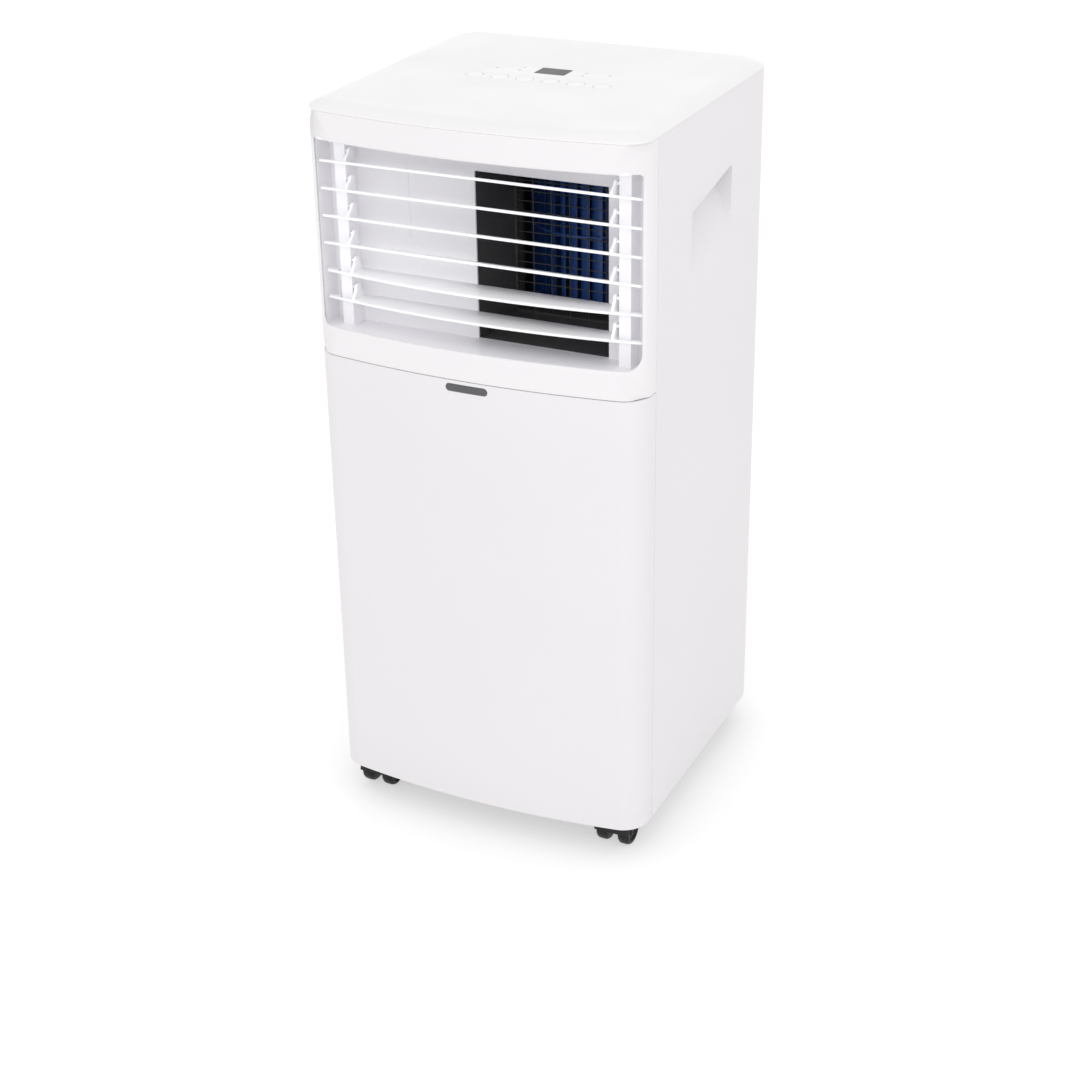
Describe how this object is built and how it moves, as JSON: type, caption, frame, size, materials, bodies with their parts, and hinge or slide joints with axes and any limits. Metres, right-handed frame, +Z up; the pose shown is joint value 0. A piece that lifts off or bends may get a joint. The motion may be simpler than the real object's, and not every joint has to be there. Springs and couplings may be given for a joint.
{
  "type": "portable air conditioner",
  "caption": "Upright portable air conditioner with a bowed front, tilting outlet louvres, top keys, side grips, hose collar and swivel casters.",
  "frame": {"origin": "on the floor under the middle of the housing", "axes": "+X to the right when seen from the front, -Y towards the front with the louvres, +Z up"},
  "size_m": [0.324, 0.325, 0.7],
  "materials": {
    "shell_white": "fine satin moulded skin",
    "inner_white": "smooth moulded",
    "louvre_white": "smooth semi-gloss",
    "key_white": "smooth semi-gloss",
    "display_dark": "clear smoked window",
    "lamp_grey": "tinted lens",
    "badge_grey": "plain smooth bar",
    "circuit_green": "solder-masked board",
    "black_plastic": "moulded black",
    "base_plastic": "moulded dark grey",
    "wheel_blue": "moulded blue",
    "shaft_steel": "turned",
    "motor_metal": "dull painted",
    "mesh_grey": "fine woven mesh in a frame",
    "rubber_black": "moulded rubber",
    "fin_aluminium": "bare pressed fins",
    "copper": "bare drawn copper tube",
    "compressor_black": "black enamel",
    "caster_black": "moulded nylon",
    "caster_tread": "hard smooth tread"
  },
  "bodies": {
    "housing": {"top_cover": "shell_white", "outlet_frame": "shell_white", "front_panel": "shell_white", "side_panel_left": "shell_white", "side_panel_right": "shell_white", "rear_panel": "shell_white", "condenser_grille": "shell_white", "outlet_liner": "inner_white", "drip_deck": "inner_white", "control_tray": "inner_white", "exhaust_collar": "inner_white", "display_window": "display_dark", "indicator_lenses": "lamp_grey", "badge": "badge_grey", "control_board": "circuit_green", "blower_scroll": "black_plastic", "guard_grid": "black_plastic", "exhaust_guard": "black_plastic", "base_pan": "base_plastic", "rear_screws": "shaft_steel", "blower_motor": "motor_metal", "exhaust_motor": "motor_metal", "cord_gland": "rubber_black", "compressor_mounts": "rubber_black", "evaporator_fins": "fin_aluminium", "condenser_fins": "fin_aluminium", "evaporator_tubes": "copper", "condenser_tubes": "copper", "refrigerant_pipes": "copper", "compressor": "compressor_black"},
    "power_key": {"key_power": "key_white"},
    "mode_key": {"key_mode": "key_white"},
    "speed_key": {"key_speed": "key_white"},
    "timer_key": {"key_timer": "key_white"},
    "down_key": {"key_down": "key_white"},
    "up_key": {"key_up": "key_white"},
    "louvre_1": {"louvre_blade_1": "louvre_white"},
    "louvre_2": {"louvre_blade_2": "louvre_white"},
    "louvre_3": {"louvre_blade_3": "louvre_white"},
    "louvre_4": {"louvre_blade_4": "louvre_white"},
    "louvre_5": {"louvre_blade_5": "louvre_white"},
    "louvre_6": {"louvre_blade_6": "louvre_white"},
    "blower_rotor": {"blower_wheel": "wheel_blue", "blower_shaft": "shaft_steel"},
    "exhaust_rotor": {"exhaust_fan": "black_plastic"},
    "filter": {"filter_cover": "shell_white", "filter_mesh": "mesh_grey"},
    "upper_plug": {"drain_plug_upper": "rubber_black"},
    "lower_plug": {"drain_plug_lower": "rubber_black"},
    "front_left_caster": {"caster_front_left": "caster_black"},
    "front_left_wheels": {"wheels_front_left": "caster_tread"},
    "front_right_caster": {"caster_front_right": "caster_black"},
    "front_right_wheels": {"wheels_front_right": "caster_tread"},
    "rear_left_caster": {"caster_rear_left": "caster_black"},
    "rear_left_wheels": {"wheels_rear_left": "caster_tread"},
    "rear_right_caster": {"caster_rear_right": "caster_black"},
    "rear_right_wheels": {"wheels_rear_right": "caster_tread"}
  },
  "joints": [
    {"name": "press_power_key", "type": "slide", "parent": "housing", "child": "power_key", "axis": [0, 0, -1], "range_m": [0, 0.0006], "stiffness_N_per_m": 900, "springref_m": -0.0004},
    {"name": "press_mode_key", "type": "slide", "parent": "housing", "child": "mode_key", "axis": [0, 0, -1], "range_m": [0, 0.0006], "stiffness_N_per_m": 900, "springref_m": -0.0004},
    {"name": "press_speed_key", "type": "slide", "parent": "housing", "child": "speed_key", "axis": [0, 0, -1], "range_m": [0, 0.0006], "stiffness_N_per_m": 900, "springref_m": -0.0004},
    {"name": "press_timer_key", "type": "slide", "parent": "housing", "child": "timer_key", "axis": [0, 0, -1], "range_m": [0, 0.0006], "stiffness_N_per_m": 900, "springref_m": -0.0004},
    {"name": "press_down_key", "type": "slide", "parent": "housing", "child": "down_key", "axis": [0, 0, -1], "range_m": [0, 0.0006], "stiffness_N_per_m": 900, "springref_m": -0.0004},
    {"name": "press_up_key", "type": "slide", "parent": "housing", "child": "up_key", "axis": [0, 0, -1], "range_m": [0, 0.0006], "stiffness_N_per_m": 900, "springref_m": -0.0004},
    {"name": "tilt_louvre_1", "type": "hinge", "parent": "housing", "child": "louvre_1", "pos_m": [0, -0.125, 0.6528], "axis": [-1, 0, 0], "range_deg": [-28, 20]},
    {"name": "tilt_louvre_2", "type": "hinge", "parent": "housing", "child": "louvre_2", "pos_m": [0, -0.125, 0.6277], "axis": [-1, 0, 0], "range_deg": [-28, 20]},
    {"name": "tilt_louvre_3", "type": "hinge", "parent": "housing", "child": "louvre_3", "pos_m": [0, -0.125, 0.6026], "axis": [-1, 0, 0], "range_deg": [-28, 20]},
    {"name": "tilt_louvre_4", "type": "hinge", "parent": "housing", "child": "louvre_4", "pos_m": [0, -0.125, 0.5775], "axis": [-1, 0, 0], "range_deg": [-28, 20]},
    {"name": "tilt_louvre_5", "type": "hinge", "parent": "housing", "child": "louvre_5", "pos_m": [0, -0.125, 0.5524], "axis": [-1, 0, 0], "range_deg": [-11, 37]},
    {"name": "tilt_louvre_6", "type": "hinge", "parent": "housing", "child": "louvre_6", "pos_m": [0, -0.125, 0.5273], "axis": [-1, 0, 0], "range_deg": [-11, 37]},
    {"name": "spin_blower", "type": "hinge", "parent": "housing", "child": "blower_rotor", "pos_m": [0.037, 0.044, 0.56], "axis": [0, 0, 1], "continuous": true},
    {"name": "spin_exhaust_fan", "type": "hinge", "parent": "housing", "child": "exhaust_rotor", "pos_m": [0, 0.11, 0.392], "axis": [0, 1, 0], "continuous": true},
    {"name": "pull_filter", "type": "slide", "parent": "housing", "child": "filter", "axis": [0, 1, 0], "range_m": [0, 0.06]},
    {"name": "pull_upper_drain_plug", "type": "slide", "parent": "housing", "child": "upper_plug", "axis": [0, 1, 0], "range_m": [0, 0.02]},
    {"name": "pull_lower_drain_plug", "type": "slide", "parent": "housing", "child": "lower_plug", "axis": [0, 1, 0], "range_m": [0, 0.02]},
    {"name": "swivel_front_left_caster", "type": "hinge", "parent": "housing", "child": "front_left_caster", "pos_m": [-0.129, -0.116, 0.05], "axis": [0, 0, 1], "continuous": true},
    {"name": "roll_front_left_wheels", "type": "hinge", "parent": "front_left_caster", "child": "front_left_wheels", "pos_m": [-0.129, -0.124, 0.015], "axis": [1, 0, 0], "continuous": true},
    {"name": "swivel_front_right_caster", "type": "hinge", "parent": "housing", "child": "front_right_caster", "pos_m": [0.129, -0.116, 0.05], "axis": [0, 0, 1], "continuous": true},
    {"name": "roll_front_right_wheels", "type": "hinge", "parent": "front_right_caster", "child": "front_right_wheels", "pos_m": [0.129, -0.124, 0.015], "axis": [1, 0, 0], "continuous": true},
    {"name": "swivel_rear_left_caster", "type": "hinge", "parent": "housing", "child": "rear_left_caster", "pos_m": [-0.129, 0.118, 0.05], "axis": [0, 0, 1], "continuous": true},
    {"name": "roll_rear_left_wheels", "type": "hinge", "parent": "rear_left_caster", "child": "rear_left_wheels", "pos_m": [-0.129, 0.126, 0.015], "axis": [1, 0, 0], "continuous": true},
    {"name": "swivel_rear_right_caster", "type": "hinge", "parent": "housing", "child": "rear_right_caster", "pos_m": [0.129, 0.118, 0.05], "axis": [0, 0, 1], "continuous": true},
    {"name": "roll_rear_right_wheels", "type": "hinge", "parent": "rear_right_caster", "child": "rear_right_wheels", "pos_m": [0.129, 0.126, 0.015], "axis": [1, 0, 0], "continuous": true}
  ]
}
